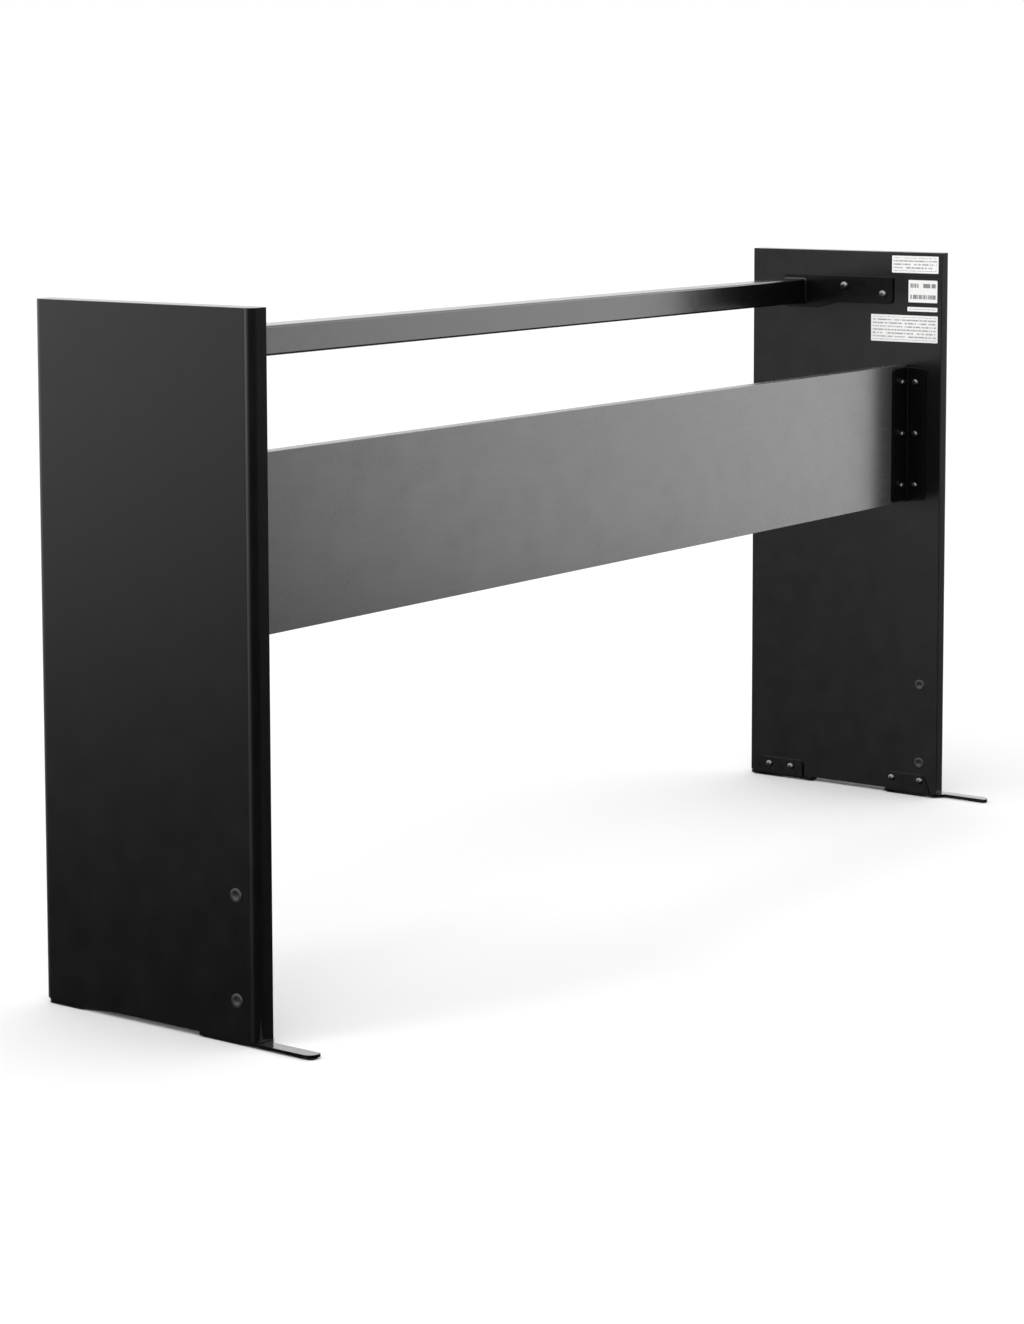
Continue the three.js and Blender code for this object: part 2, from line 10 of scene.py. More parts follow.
import bmesh
import bpy
from mathutils import Matrix, Vector


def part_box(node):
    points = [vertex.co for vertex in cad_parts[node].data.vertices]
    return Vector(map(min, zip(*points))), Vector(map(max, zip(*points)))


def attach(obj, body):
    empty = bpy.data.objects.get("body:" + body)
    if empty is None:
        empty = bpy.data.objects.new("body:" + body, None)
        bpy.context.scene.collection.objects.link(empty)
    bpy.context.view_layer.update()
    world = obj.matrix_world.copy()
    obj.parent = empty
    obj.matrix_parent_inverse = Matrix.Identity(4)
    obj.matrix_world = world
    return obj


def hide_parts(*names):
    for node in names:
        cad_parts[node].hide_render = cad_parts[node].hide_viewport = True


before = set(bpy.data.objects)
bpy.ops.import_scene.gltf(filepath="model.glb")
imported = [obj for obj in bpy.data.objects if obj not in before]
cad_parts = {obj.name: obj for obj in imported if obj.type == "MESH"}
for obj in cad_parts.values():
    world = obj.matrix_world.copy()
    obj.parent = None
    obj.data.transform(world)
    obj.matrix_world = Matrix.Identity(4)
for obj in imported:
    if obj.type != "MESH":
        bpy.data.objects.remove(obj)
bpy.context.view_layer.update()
MM = 0.001

# %% [markdown]
# ## Camera
# The camera stands behind the stand, a little above its top, and looks along it. A long lens from a few
# metres away keeps upright edges nearly parallel. The lens is shifted rather than tipped further, as with
# an architect's camera, so that the uprights don't lean.

# %% Camera
CAMERA_PLACE = Vector((2.7646, 1.9114, 0.8411))
HEADING, TILT, ROLL = (math.radians(a) for a in (-125.834, -5.744, -0.126))
FOCAL_LENGTH = 85.96
SENSOR = 36.0
LENS_SHIFT = -0.1770

ahead = Vector((math.sin(HEADING) * math.cos(TILT), math.cos(HEADING) * math.cos(TILT), math.sin(TILT)))
level = ahead.cross(Vector((0, 0, 1))).normalized()
upright = level.cross(ahead)
side = level * math.cos(ROLL) + upright * math.sin(ROLL)
top = upright * math.cos(ROLL) - level * math.sin(ROLL)

camera_data = bpy.data.cameras.new("camera")
camera_data.lens = FOCAL_LENGTH
camera_data.sensor_width = SENSOR
camera_data.shift_y = LENS_SHIFT
camera = bpy.data.objects.new("camera", camera_data)
camera.matrix_world = Matrix.Translation(CAMERA_PLACE) @ Matrix((side, top, -ahead)).transposed().to_4x4()
bpy.context.scene.collection.objects.link(camera)
bpy.context.scene.camera = camera
bpy.context.scene.view_settings.view_transform = "Standard"
print("camera looks along", [round(c, 3) for c in ahead])

# %% [markdown]
# ## Studio
# Black satin surfaces show little of their own colour. What is seen on them is the room, so the room is
# built first. It is a white floor and a world that is bright near the horizon and darker below it. The
# world is split by kind of ray: the camera sees white, diffuse light is even, and reflections see panels
# of light and dark around the stand, as in a product studio.

# %% World
ROOM_WHITE = 1.0
SOFT_LIGHT = 1.25
AROUND = [  # heading in degrees from +X towards +Y, brightness at the horizon, brightness low down
    (-180, 0.80, 0.35),
    (-140, 1.00, 0.35),
    (-90, 1.20, 0.25),
    (-54, 1.70, 0.0),
    (-42, 1.25, 0.0),
    (-36, 0.50, 0.0),
    (-28, 0.32, 0.06),
    (-21, 3.10, 0.0),
    (-7, 3.10, 0.0),
    (5, 1.40, 0.0),
    (22, 0.20, 0.0),
    (40, 0.02, 0.0),
    (95, 0.05, 0.0),
    (120, 0.15, 0.0),
    (145, 0.20, 0.02),
    (180, 0.80, 0.35),
]
HORIZON_FADE = (-0.26, -0.03)  # sine of the height angle over which the light fades
OVERHEAD = 2.2
OVERHEAD_START = (0.08, 0.24)  # sine of the height angle over which the overhead light takes over
RAMP_TOP = 3.5  # ramp colours stop at 1, so they are divided by this

world = bpy.data.worlds.new("studio")
bpy.context.scene.world = world
world.use_nodes = True
world.cycles.sampling_method = "NONE"
room = world.node_tree.nodes
wire = world.node_tree.links.new
room.clear()


def calculate(operation, *values):
    node = room.new("ShaderNodeMath")
    node.operation = operation
    for socket, value in zip(node.inputs, values):
        if isinstance(value, (int, float)):
            socket.default_value = value
        else:
            wire(value, socket)
    return node.outputs[0]


def ramp_around(column, heading):
    node = room.new("ShaderNodeValToRGB")
    stops = node.color_ramp.elements
    while len(stops) < len(AROUND):
        stops.new(0.5)
    for stop, row in zip(stops, AROUND):
        stop.position = (row[0] + 180) / 360
        stop.color = (*[row[column] / RAMP_TOP] * 3, 1)
    wire(heading, node.inputs[0])
    return calculate("MULTIPLY", node.outputs[0], RAMP_TOP)


direction = room.new("ShaderNodeSeparateXYZ")
wire(room.new("ShaderNodeTexCoord").outputs["Generated"], direction.inputs[0])
turn = calculate("ARCTAN2", direction.outputs["Y"], direction.outputs["X"])
turn = calculate("MULTIPLY_ADD", turn, 0.5 / math.pi, 0.5)
rise = room.new("ShaderNodeMapRange")
rise.interpolation_type = "SMOOTHSTEP"
wire(direction.outputs["Z"], rise.inputs["Value"])
rise.inputs["From Min"].default_value, rise.inputs["From Max"].default_value = HORIZON_FADE
low, high = ramp_around(2, turn), ramp_around(1, turn)
band = calculate("MULTIPLY_ADD", calculate("SUBTRACT", high, low), rise.outputs[0], low)
lift = room.new("ShaderNodeMapRange")
wire(direction.outputs["Z"], lift.inputs["Value"])
lift.inputs["From Min"].default_value, lift.inputs["From Max"].default_value = OVERHEAD_START
lift.inputs["To Max"].default_value = 1
above = calculate("MULTIPLY_ADD", calculate("SUBTRACT", OVERHEAD, band), lift.outputs[0], band)

ray = room.new("ShaderNodeLightPath")
kinds = []
for strength in (SOFT_LIGHT, above, ROOM_WHITE):
    kinds.append(room.new("ShaderNodeBackground"))
    if isinstance(strength, float):
        kinds[-1].inputs["Strength"].default_value = strength
    else:
        wire(strength, kinds[-1].inputs["Strength"])
    kinds[-1].inputs["Color"].default_value = (1, 1, 1, 1)
seen = kinds[0].outputs[0]
for kind, test in zip(kinds[1:], ("Is Glossy Ray", "Is Camera Ray")):
    mix = room.new("ShaderNodeMixShader")
    wire(ray.outputs[test], mix.inputs[0])
    wire(seen, mix.inputs[1])
    wire(kind.outputs[0], mix.inputs[2])
    seen = mix.outputs[0]
wire(seen, room.new("ShaderNodeOutputWorld").inputs["Surface"])
print("world made with", len(room), "nodes")

# %% [markdown]
# ## Floor
# A pale plain floor carries a soft contact shadow. Reflections don't see it, so that the black panels
# fade downwards as they do over a dark stage, and it blocks no light that comes from low down.

# %% Floor
FLOOR_HALF = 30.0
FLOOR_PALE = 0.86

floor_mesh = bpy.data.meshes.new("floor")
bm = bmesh.new()
bmesh.ops.create_grid(bm, x_segments=1, y_segments=1, size=FLOOR_HALF)
bm.to_mesh(floor_mesh)
bm.free()
floor = bpy.data.objects.new("floor", floor_mesh)
bpy.context.scene.collection.objects.link(floor)
floor_paint = bpy.data.materials.new("floor_paint")
floor_paint.use_nodes = True
floor_shader = floor_paint.node_tree.nodes["Principled BSDF"]
floor_shader.inputs["Base Color"].default_value = (FLOOR_PALE, FLOOR_PALE, FLOOR_PALE, 1)
floor_shader.inputs["Roughness"].default_value = 1
floor_shader.inputs["Specular IOR Level"].default_value = 0
floor_mesh.materials.append(floor_paint)
floor.visible_glossy = False
floor.visible_shadow = False
print("floor", FLOOR_HALF * 2, "m across")

# %% [markdown]
# ## Helpers for finishes
# A finish is a Principled shader with patterns on its colour, roughness and height. Patterns are read
# from Object coordinates, so they stay in real millimetres on every piece.

# %% Helpers for finishes


class Finish:
    """A material with its shader, and short ways to add patterns."""

    def __init__(self, name, colour, roughness, metallic=0.0, specular=0.5):
        self.material = bpy.data.materials.new(name)
        self.material.use_nodes = True
        self.nodes = self.material.node_tree.nodes
        self.link = self.material.node_tree.links.new
        self.shader = self.nodes["Principled BSDF"]
        self.shader.inputs["Base Color"].default_value = (*colour, 1)
        self.shader.inputs["Roughness"].default_value = roughness
        self.shader.inputs["Metallic"].default_value = metallic
        self.shader.inputs["Specular IOR Level"].default_value = specular
        self.place = self.nodes.new("ShaderNodeTexCoord").outputs["Object"]
        self.last_bump = None

    def stretched(self, factors):
        mapping = self.nodes.new("ShaderNodeMapping")
        mapping.inputs["Scale"].default_value = factors
        self.link(self.place, mapping.inputs["Vector"])
        return mapping.outputs[0]

    def cloud(self, per_metre, detail=2.0, where=None):
        noise = self.nodes.new("ShaderNodeTexNoise")
        noise.inputs["Scale"].default_value = per_metre
        noise.inputs["Detail"].default_value = detail
        self.link(where or self.place, noise.inputs["Vector"])
        return noise.outputs["Fac"]

    def between(self, factor, low, high, start=0.3, end=0.7):
        node = self.nodes.new("ShaderNodeMapRange")
        self.link(factor, node.inputs["Value"])
        for name, value in zip(("From Min", "From Max", "To Min", "To Max"), (start, end, low, high)):
            node.inputs[name].default_value = value
        return node.outputs[0]

    def roughen(self, factor, low, high):
        self.link(self.between(factor, low, high), self.shader.inputs["Roughness"])

    def tint(self, factor, dark, light):
        mix = self.nodes.new("ShaderNodeMix")
        mix.data_type = "RGBA"
        self.link(self.between(factor, 0, 1), mix.inputs["Factor"])
        mix.inputs["A"].default_value = (*dark, 1)
        mix.inputs["B"].default_value = (*light, 1)
        self.link(mix.outputs["Result"], self.shader.inputs["Base Color"])

    def relief(self, height, depth, strength=1.0):
        bump = self.nodes.new("ShaderNodeBump")
        bump.inputs["Strength"].default_value = strength
        bump.inputs["Distance"].default_value = depth
        self.link(height, bump.inputs["Height"])
        if self.last_bump:
            self.link(self.last_bump, bump.inputs["Normal"])
        self.last_bump = bump.outputs["Normal"]
        self.link(self.last_bump, self.shader.inputs["Normal"])


print("finish helpers ready")

# %% [markdown]
# ## Finishes
# The panels are particle board in a black satin foil with a faint pressed grain. The modesty board's
# foil is a dark grey. The steel is powder coated, which leaves a fine orange peel. The brackets and end
# plates carry a duller coat than the tube and the feet, so they stay nearly black. Screws are black
# nickel, caps are moulded plastic, pads are rubber, and the inserts in the panels are zinc plated.

# %% Finishes
laminate = Finish("laminate", (0.0022, 0.0022, 0.0023), 0.22)
grain = laminate.cloud(1, 4, laminate.stretched((260, 260, 24)))
laminate.tint(grain, (0.0017, 0.0017, 0.0018), (0.0028, 0.0028, 0.0029))
laminate.roughen(laminate.cloud(38, 3), 0.20, 0.24)
laminate.relief(laminate.cloud(1400, 2), 0.00004, 0.35)
laminate.relief(grain, 0.00005, 0.25)

board_foil = Finish("board_foil", (0.031, 0.031, 0.032), 0.26)
board_grain = board_foil.cloud(1, 4, board_foil.stretched((22, 240, 240)))
board_foil.tint(board_grain, (0.028, 0.028, 0.029), (0.034, 0.034, 0.035))
board_foil.roughen(board_foil.cloud(30, 3), 0.24, 0.28)
board_foil.relief(board_foil.cloud(1300, 2), 0.00004, 0.35)
board_foil.relief(board_grain, 0.00004, 0.2)

steel_coat = Finish("steel_coat", (0.0022, 0.0021, 0.0021), 0.18)
peel = steel_coat.cloud(650, 3)
steel_coat.tint(steel_coat.cloud(60, 3), (0.0018, 0.0017, 0.0017), (0.0027, 0.0026, 0.0026))
steel_coat.roughen(steel_coat.cloud(120, 3), 0.17, 0.22)
steel_coat.relief(peel, 0.00004, 0.2)

sheet_coat = Finish("sheet_coat", (0.0022, 0.0021, 0.0021), 0.22, specular=0.22)
sheet_coat.tint(sheet_coat.cloud(60, 3), (0.0018, 0.0017, 0.0017), (0.0027, 0.0026, 0.0026))
sheet_coat.roughen(sheet_coat.cloud(120, 3), 0.20, 0.26)
sheet_coat.relief(sheet_coat.cloud(650, 3), 0.00004, 0.2)

screw_nickel = Finish("screw_nickel", (0.16, 0.16, 0.165), 0.24, metallic=1.0)
screw_nickel.tint(screw_nickel.cloud(900, 3), (0.11, 0.11, 0.115), (0.20, 0.20, 0.205))
screw_nickel.roughen(screw_nickel.cloud(1500, 3), 0.20, 0.32)
screw_nickel.relief(screw_nickel.cloud(2500, 2), 0.00002, 0.3)

insert_zinc = Finish("insert_zinc", (0.50, 0.48, 0.42), 0.35, metallic=1.0)
insert_zinc.tint(insert_zinc.cloud(700, 3), (0.40, 0.38, 0.32), (0.56, 0.54, 0.48))
insert_zinc.roughen(insert_zinc.cloud(900, 3), 0.28, 0.45)

cap_plastic = Finish("cap_plastic", (0.010, 0.010, 0.010), 0.40)
cap_plastic.tint(cap_plastic.cloud(500, 2), (0.009, 0.009, 0.009), (0.012, 0.012, 0.012))
cap_plastic.roughen(cap_plastic.cloud(800, 2), 0.34, 0.46)
cap_plastic.relief(cap_plastic.cloud(3500, 2), 0.00003, 0.5)

pad_rubber = Finish("pad_rubber", (0.012, 0.012, 0.012), 0.82, specular=0.3)
pad_rubber.tint(pad_rubber.cloud(400, 3), (0.010, 0.010, 0.010), (0.016, 0.016, 0.016))
pad_rubber.roughen(pad_rubber.cloud(600, 3), 0.75, 0.90)
pad_rubber.relief(pad_rubber.cloud(2200, 3), 0.00006, 0.6)
print("finishes", [m.name for m in bpy.data.materials])

# %% [markdown]
# ## Helpers for shapes
# Most pieces are plates: an outline with rounded corners, raised to a thickness, with its edges broken
# so that they catch a thin line of light. Round pieces are a profile spun about an axis. A hole is cut
# by a boolean, which works on objects, so both shapes become objects for a moment.

# %% Helpers for shapes
BOTH_SIDES = (("right", 1), ("left", -1))
TOUCHING = 1e-6  # points this close lie on the same plane or are the same point
MERGED = 1e-7  # points of a finished mesh this close become one
SHARP_FROM = 38  # degrees between faces from which an edge is shaded as sharp
END_FACE = 0.99  # upward part of an end face's normal
# How far the edges of boards, of plates and of bent sheet are broken
BOARD_EDGE = 0.5 * MM
PLATE_EDGE = 0.45 * MM
SHEET_EDGE = 0.4 * MM
DRILL_LEAD = 5 * MM  # a drill through steel begins this far outside the panel's face


def plate(outline, axis, start, end, rounds=6):
    """A closed plate. Its outline has corners (a, b, radius), in X and Y for axis Z or Y and Z for axis X."""
    bm = bmesh.new()
    corners = [bm.verts.new((a, b, start) if axis == "Z" else (start, a, b)) for a, b, radius in outline]
    bm.faces.new(corners)
    for i, (corner, (a, b, radius)) in enumerate(zip(corners, outline)):
        if radius:
            before, after = (Vector(outline[k % len(outline)][:2]) - Vector((a, b)) for k in (i - 1, i + 1))
            reach = radius / math.tan(before.angle(after) / 2)
            bmesh.ops.bevel(bm, geom=[corner], affect="VERTICES", offset=reach, segments=rounds, profile=0.5,
                            material=-1)
    raised = bmesh.ops.extrude_face_region(bm, geom=bm.faces[:])
    along = Vector((0, 0, end - start)) if axis == "Z" else Vector((end - start, 0, 0))
    bmesh.ops.translate(bm, vec=along, verts=[v for v in raised["geom"] if isinstance(v, bmesh.types.BMVert)])
    bmesh.ops.recalc_face_normals(bm, faces=bm.faces[:])
    return bm


def soften(bm, width, segments=2, above=50):
    """Bevels the edges that turn by more than this many degrees."""
    sharp = [e for e in bm.edges if len(e.link_faces) == 2 and e.calc_face_angle(0) > math.radians(above)]
    bmesh.ops.bevel(bm, geom=sharp, affect="EDGES", offset=width, segments=segments, profile=0.5,
                    material=-1, clamp_overlap=True)
    return bm


def spun(profile, steps=40):
    """A round piece about Z. The profile's points are (radius, height), from one pole to the other."""
    bm = bmesh.new()
    line = [bm.verts.new((radius, 0, height)) for radius, height in profile]
    for a, b in zip(line, line[1:]):
        bm.edges.new((a, b))
    bmesh.ops.spin(bm, geom=bm.verts[:] + bm.edges[:], cent=(0, 0, 0), axis=(0, 0, 1), angle=math.tau,
                   steps=steps, use_merge=True)
    bmesh.ops.remove_doubles(bm, verts=bm.verts[:], dist=TOUCHING)
    bmesh.ops.recalc_face_normals(bm, faces=bm.faces[:])
    return bm


def aimed(bm, place, towards):
    """Turns a piece made about Z to point towards a direction, and moves it to its place."""
    turn = Vector((0, 0, 1)).rotation_difference(Vector(towards)).to_matrix().to_4x4()
    bmesh.ops.transform(bm, matrix=Matrix.Translation(place) @ turn, verts=bm.verts[:])
    return bm


def combine(body, tool, how="DIFFERENCE"):
    """Cuts the tool from the body, or joins it to it."""
    shapes = []
    for bm in (body, tool):
        mesh = bpy.data.meshes.new("shape")
        bm.to_mesh(mesh)
        bm.free()
        shapes.append(bpy.data.objects.new("shape", mesh))
        bpy.context.scene.collection.objects.link(shapes[-1])
    boolean = shapes[0].modifiers.new("combine", "BOOLEAN")
    boolean.operation, boolean.solver, boolean.object = how, "EXACT", shapes[1]
    result = bmesh.new()
    result.from_object(shapes[0], bpy.context.evaluated_depsgraph_get())
    for shape in shapes:
        bpy.data.meshes.remove(shape.data)
    return result


def bore(body, radius, places, towards, start, depth, steps=24):
    """Drills round holes. Each begins just outside the surface and goes in to the depth."""
    for place in places:
        profile = [(0, start), (radius, start), (radius, -depth), (0, -depth)]
        drill = aimed(spun(profile, steps), place, towards)
        body = combine(body, drill)
    return body


def finished(node, bm, finish):
    """Makes the object that stands for a node of the frame."""
    bmesh.ops.remove_doubles(bm, verts=bm.verts[:], dist=MERGED)
    bmesh.ops.recalc_face_normals(bm, faces=bm.faces[:])
    mesh = bpy.data.meshes.new(node + "_finished")
    bm.to_mesh(mesh)
    bm.free()
    mesh.materials.append(finish.material)
    mesh.shade_smooth()
    mesh.set_sharp_from_angle(angle=math.radians(SHARP_FROM))
    piece = bpy.data.objects.new(mesh.name, mesh)
    bpy.context.scene.collection.objects.link(piece)
    weighted = piece.modifiers.new("even shading", "WEIGHTED_NORMAL")
    weighted.keep_sharp = True
    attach(piece, "root")
    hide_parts(node)
    return piece


def finished_pair(name, make, finish):
    """A right piece and its mirror image. Mirroring turns faces round, and finished() turns them back."""
    for word, sign in BOTH_SIDES:
        bm = make()
        bmesh.ops.scale(bm, vec=(sign, 1, 1), verts=bm.verts[:])
        piece = finished(f"{name}_{word}", bm, finish)
    print(name, "pair,", len(piece.data.polygons), "faces each")


def middle(node):
    low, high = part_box(node)
    return (low + high) / 2


print("shape helpers ready")

# %% [markdown]
# ## Side panels
# Each panel is a board wrapped in foil, so its two outer upright edges are round and its inner ones
# nearly square. The ends are closed by a glued band, which shows as a fine groove round the top and the
# bottom. Holes for bolts, screws and caps are drilled from the inner face.

# %% Side panels
PANEL_OUTER_RADIUS = 9 * MM
PANEL_INNER_RADIUS = 1 * MM
BAND_BORDER = 0.7 * MM
BAND_GROOVE = 0.25 * MM
PILOT_RADIUS = 2.1 * MM
PILOT_DEPTH = 13.5 * MM
INSERT_HOLE_RADIUS = 4.7 * MM
INSERT_HOLE_DEPTH = 14.5 * MM
CAP_HOLE_RADIUS = 4.5 * MM

BRACKET_SCREWS = [f"bracket_panel_screw_{place}_right" for place in ("lower", "middle", "upper")]
FOOT_SCREWS = [
    f"{foot}_foot_screw_{place}_right"
    for foot in ("front", "rear") for place in ("front", "rear")
]
panel_low, panel_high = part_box("side_panel_right")
inner_face = panel_low.x


def on_inner_face(nodes):
    return [Vector((inner_face, middle(node).y, middle(node).z)) for node in nodes]


def band_groove(bm, faces):
    """A fine groove round an end face, where the glued band meets the foil."""
    for face in faces:
        for width, depth in ((BAND_BORDER, 0), (BAND_GROOVE, -BAND_GROOVE), (BAND_GROOVE, BAND_GROOVE)):
            bmesh.ops.inset_individual(bm, faces=[face], thickness=width, depth=depth)
    return bm


def side_panel():
    low, high = panel_low, panel_high
    outline = [
        (low.x, low.y, PANEL_INNER_RADIUS),
        (high.x, low.y, PANEL_OUTER_RADIUS),
        (high.x, high.y, PANEL_OUTER_RADIUS),
        (low.x, high.y, PANEL_INNER_RADIUS),
    ]
    bm = plate(outline, "Z", low.z, high.z, rounds=10)
    soften(bm, BOARD_EDGE)
    ends = [f for f in bm.faces if abs(f.normal.z) > END_FACE]
    band_groove(bm, ends)
    inward, start = (-1, 0, 0), MM
    bm = bore(bm, PILOT_RADIUS, on_inner_face(BRACKET_SCREWS + FOOT_SCREWS), inward, start, PILOT_DEPTH)
    inserts = on_inner_face(["threaded_insert_front_right", "threaded_insert_rear_right"])
    bm = bore(bm, INSERT_HOLE_RADIUS, inserts, inward, start, INSERT_HOLE_DEPTH)
    caps = on_inner_face(["inner_hole_cap_lower_right", "inner_hole_cap_upper_right"])
    return bore(bm, CAP_HOLE_RADIUS, caps, inward, start, panel_high.x - panel_low.x + MM)


finished_pair("side_panel", side_panel, laminate)

# %% [markdown]
# ## Modesty board
# A flat board between the panels, foil on its faces and a glued band on its long edges.

# %% Modesty board
BOARD_SCREWS = [f"bracket_board_screw_{place}_{word}" for place in ("lower", "middle", "upper")
                for word in ("left", "right")]


def modesty_board():
    low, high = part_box("back_board")
    bm = bmesh.new()
    bmesh.ops.create_cube(bm, size=1)
    bmesh.ops.scale(bm, vec=high - low, verts=bm.verts[:])
    bmesh.ops.translate(bm, vec=(low + high) / 2, verts=bm.verts[:])
    soften(bm, BOARD_EDGE)
    band_groove(bm, [f for f in bm.faces if abs(f.normal.z) > END_FACE])
    places = [Vector((middle(node).x, high.y, middle(node).z)) for node in BOARD_SCREWS]
    return bore(bm, PILOT_RADIUS, places, (0, 1, 0), MM, PILOT_DEPTH)


board = finished("back_board", modesty_board(), board_foil)
print("modesty board", [round(d, 4) for d in board.dimensions])

# %% [markdown]
# ## Crossbar
# A square steel tube with rolled corners. It is open at its ends, where it is welded to two plates that
# are bolted to the panels. The weld is a low bead round the tube.

# %% Crossbar
TUBE_WALL = 1.5 * MM
TUBE_CORNER = 2.6 * MM
BEAD = 1.4 * MM
BEAD_LENGTH = 1.6  # along the tube, as a share of the bead's height
BEAD_ROUNDING = 0.95  # of the bead's height
BEAD_BORE = 5 * MM  # how far the bead's hollow is cut each way from the tube's end


def square_outline(low, high, inset, radius):
    return [
        (low.y + inset, low.z + inset, radius),
        (high.y - inset, low.z + inset, radius),
        (high.y - inset, high.z - inset, radius),
        (low.y + inset, high.z - inset, radius),
    ]


def crossbar():
    low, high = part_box("crossbar")
    tube = plate(square_outline(low, high, 0, TUBE_CORNER), "X", low.x, high.x)
    inside = square_outline(low, high, TUBE_WALL, TUBE_CORNER - TUBE_WALL)
    tube = combine(tube, plate(inside, "X", low.x - MM, high.x + MM))
    for end, inward in ((low.x, 1), (high.x, -1)):
        around = square_outline(low, high, -BEAD, TUBE_CORNER + BEAD)
        bead = plate(around, "X", end, end + inward * BEAD * BEAD_LENGTH)
        tip = [e for e in bead.edges if all(abs(v.co.x - end) > BEAD for v in e.verts)]
        bmesh.ops.bevel(bead, geom=tip, affect="EDGES", offset=BEAD * BEAD_ROUNDING, segments=4,
                        profile=0.5, material=-1)
        opening = square_outline(low, high, TUBE_WALL / 2, TUBE_CORNER)
        hollow = plate(opening, "X", end - BEAD_BORE, end + BEAD_BORE)
        tube = combine(tube, combine(bead, hollow), "UNION")
    return tube


tube = finished("crossbar", crossbar(), steel_coat)
print("crossbar", [round(d, 4) for d in tube.dimensions])

# %% [markdown]
# ## Crossbar end plates
# Flat plates, cut deep where they carry the tube and narrow where they run to the bolts.

# %% Crossbar end plates
PLATE_TAB_RISE = 7.6 * MM
PLATE_SLOPE = 30 * MM
PLATE_SHOULDER = 45.5 * MM
PLATE_RADIUS = 5 * MM
BOLT_HOLE_RADIUS = 2.6 * MM
BOLT_DRILL_DEPTH = 2 * MM


def end_plate():
    low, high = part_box("crossbar_end_plate_right")
    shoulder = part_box("crossbar")[1].y + PLATE_SHOULDER
    outline = [
        (low.y, low.z, PLATE_RADIUS),
        (shoulder - PLATE_SLOPE, low.z, PLATE_RADIUS * 2),
        (shoulder, low.z + PLATE_TAB_RISE, PLATE_RADIUS),
        (high.y, low.z + PLATE_TAB_RISE, PLATE_RADIUS),
        (high.y, high.z, PLATE_RADIUS / 2),
        (low.y, high.z, PLATE_RADIUS / 2),
    ]
    bm = soften(plate(outline, "X", low.x, high.x), PLATE_EDGE)
    bolts = on_inner_face(["crossbar_bolt_front_right", "crossbar_bolt_rear_right"])
    return bore(bm, BOLT_HOLE_RADIUS, bolts, (-1, 0, 0), DRILL_LEAD, BOLT_DRILL_DEPTH)


finished_pair("crossbar_end_plate", end_plate, sheet_coat)

# %% [markdown]
# ## Board brackets
# A steel angle at each end of the board. It is bent from sheet, so its corner is round inside and out,
# and the free corners of its legs are rounded.

# %% Board brackets
BRACKET_STEEL = 2.5 * MM
BRACKET_BEND = 1.2 * MM
BRACKET_CORNER = 4 * MM
SCREW_HOLE_RADIUS = 2.1 * MM
SCREW_DRILL_DEPTH = MM


def bracket():
    low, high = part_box("board_bracket_right")
    outline = [
        (low.x, low.y, 0),
        (high.x, low.y, BRACKET_BEND + BRACKET_STEEL),
        (high.x, high.y, 0),
        (high.x - BRACKET_STEEL, high.y, 0),
        (high.x - BRACKET_STEEL, low.y + BRACKET_STEEL, BRACKET_BEND),
        (low.x, low.y + BRACKET_STEEL, 0),
    ]
    bm = plate(outline, "Z", low.z, high.z)
    flat_edges = [e for e in bm.edges if abs(e.verts[0].co.z - e.verts[1].co.z) < TOUCHING]
    free = [e for e in flat_edges
            if all(v.co.y > high.y - TOUCHING for v in e.verts)
            or all(v.co.x < low.x + TOUCHING for v in e.verts)]
    bmesh.ops.bevel(bm, geom=free, affect="EDGES", offset=BRACKET_CORNER, segments=6,
                    profile=0.5, material=-1)
    soften(bm, SHEET_EDGE)
    bm = bore(bm, SCREW_HOLE_RADIUS, on_inner_face(BRACKET_SCREWS), (-1, 0, 0), DRILL_LEAD,
              SCREW_DRILL_DEPTH)
    board_screws = [Vector((middle(n).x, low.y, middle(n).z)) for n in BOARD_SCREWS if n.endswith("right")]
    return bore(bm, SCREW_HOLE_RADIUS, board_screws, (0, 1, 0), DRILL_LEAD, SCREW_DRILL_DEPTH)


finished_pair("board_bracket", bracket, sheet_coat)

# %% [markdown]
# ## Feet
# Each foot is one sheet: a base under the panel, and an upstand bent up against the panel's inner face.
# The two are joined, and then the edge of the bend is rounded. The rear base runs out as a narrow bar.

# %% Feet
FOOT_STEEL = 3 * MM
FOOT_BEND = 2.2 * MM  # outer radius where the upstand leaves the base
BEND_REACH = 1e-5  # the bend's edge lies this close to the corner of the box
FOOT_CORNER = 2 * MM
UPSTAND_RADIUS = 5 * MM
FRONT_UPSTAND = (10 * MM, 64 * MM, 0)  # start after the base's front end, length at the top, flare
REAR_UPSTAND = (4 * MM, 50 * MM, 10 * MM)
FRONT_STRAIGHT = 45 * MM
FRONT_TIP_WIDTH = 13.5 * MM
REAR_BAR_WIDTH = 13.5 * MM
REAR_NECK = (2 * MM, 10 * MM)  # full width ends this far inside the panel's rear edge, length of the neck
REAR_TIP_RADIUS = 10 * MM


